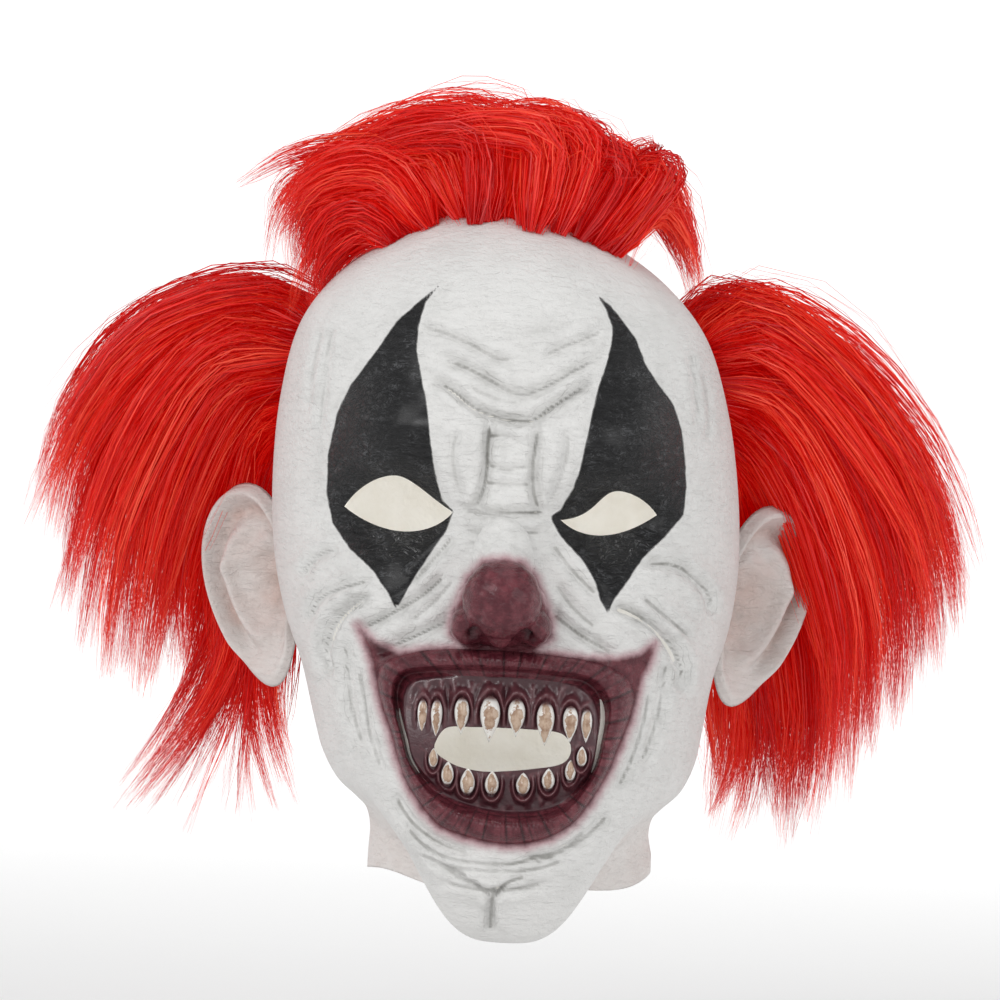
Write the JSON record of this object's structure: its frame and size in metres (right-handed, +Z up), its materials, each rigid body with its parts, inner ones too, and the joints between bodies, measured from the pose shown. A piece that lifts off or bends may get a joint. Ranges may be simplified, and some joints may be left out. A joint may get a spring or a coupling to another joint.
{
  "type": "clown mask",
  "caption": "Full-head hollow latex clown mask with cut eye holes, a ball nose, an open grinning mouth with pointed teeth, large ears and three tufts of long red hair.",
  "frame": {"origin": "inside of the crown, where the wearer's head bears", "axes": "+Z up, the face looks along -Y, +X to the right of someone looking at the face"},
  "size_m": [0.3993, 0.2509, 0.3393],
  "materials": {
    "latex": "painted latex, satin",
    "teeth": "glossy, white rims and tan middles",
    "hair": "straight synthetic hair"
  },
  "bodies": {
    "root": {"latex_skin": "latex", "upper_tooth_1": "teeth", "upper_tooth_2": "teeth", "upper_tooth_3": "teeth", "upper_tooth_4": "teeth", "upper_tooth_5": "teeth", "upper_tooth_6": "teeth", "upper_tooth_7": "teeth", "upper_tooth_8": "teeth", "lower_tooth_1": "teeth", "lower_tooth_2": "teeth", "lower_tooth_3": "teeth", "lower_tooth_4": "teeth", "lower_tooth_5": "teeth", "lower_tooth_6": "teeth", "lower_tooth_7": "teeth", "lower_tooth_8": "teeth", "crest_hair": "hair", "left_hair": "hair", "right_hair": "hair"}
  },
  "joints": []
}
